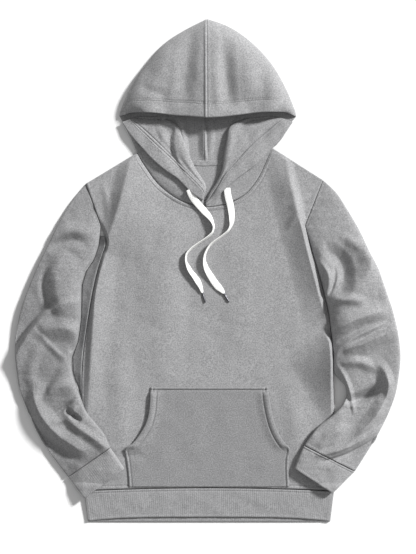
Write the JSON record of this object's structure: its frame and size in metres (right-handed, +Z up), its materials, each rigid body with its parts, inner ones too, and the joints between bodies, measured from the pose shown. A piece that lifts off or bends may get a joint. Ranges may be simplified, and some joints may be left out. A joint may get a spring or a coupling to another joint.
{
  "type": "pullover hoodie",
  "caption": "Fleece pullover hoodie laid flat on its back, with an open hood, a front pouch pocket, a drawcord with metal tips, and knitted cuffs and hem.",
  "frame": {"origin": "on the surface, under the middle of the garment as it lies", "axes": "+X to the viewer's right, +Y from the hem to the hood, +Z up from the surface"},
  "size_m": [0.7488, 0.9762, 0.0364],
  "materials": {
    "fleece": "mid grey brushed-back fleece, matt, faint marl",
    "band_knit": "mid grey band knit, sewn double, matt",
    "cord": "white flat woven cord, matt",
    "aglet": "dark plated metal tube"
  },
  "bodies": {
    "root": {"body_back": "fleece", "body_front": "fleece", "pocket": "fleece", "sleeve_left": "fleece", "sleeve_right": "fleece", "hood_left": "fleece", "hood_right": "fleece", "hem_band": "band_knit", "cuff_left": "band_knit", "cuff_right": "band_knit", "drawcord_left": "cord", "drawcord_right": "cord", "aglet_left": "aglet", "aglet_right": "aglet"}
  },
  "joints": []
}
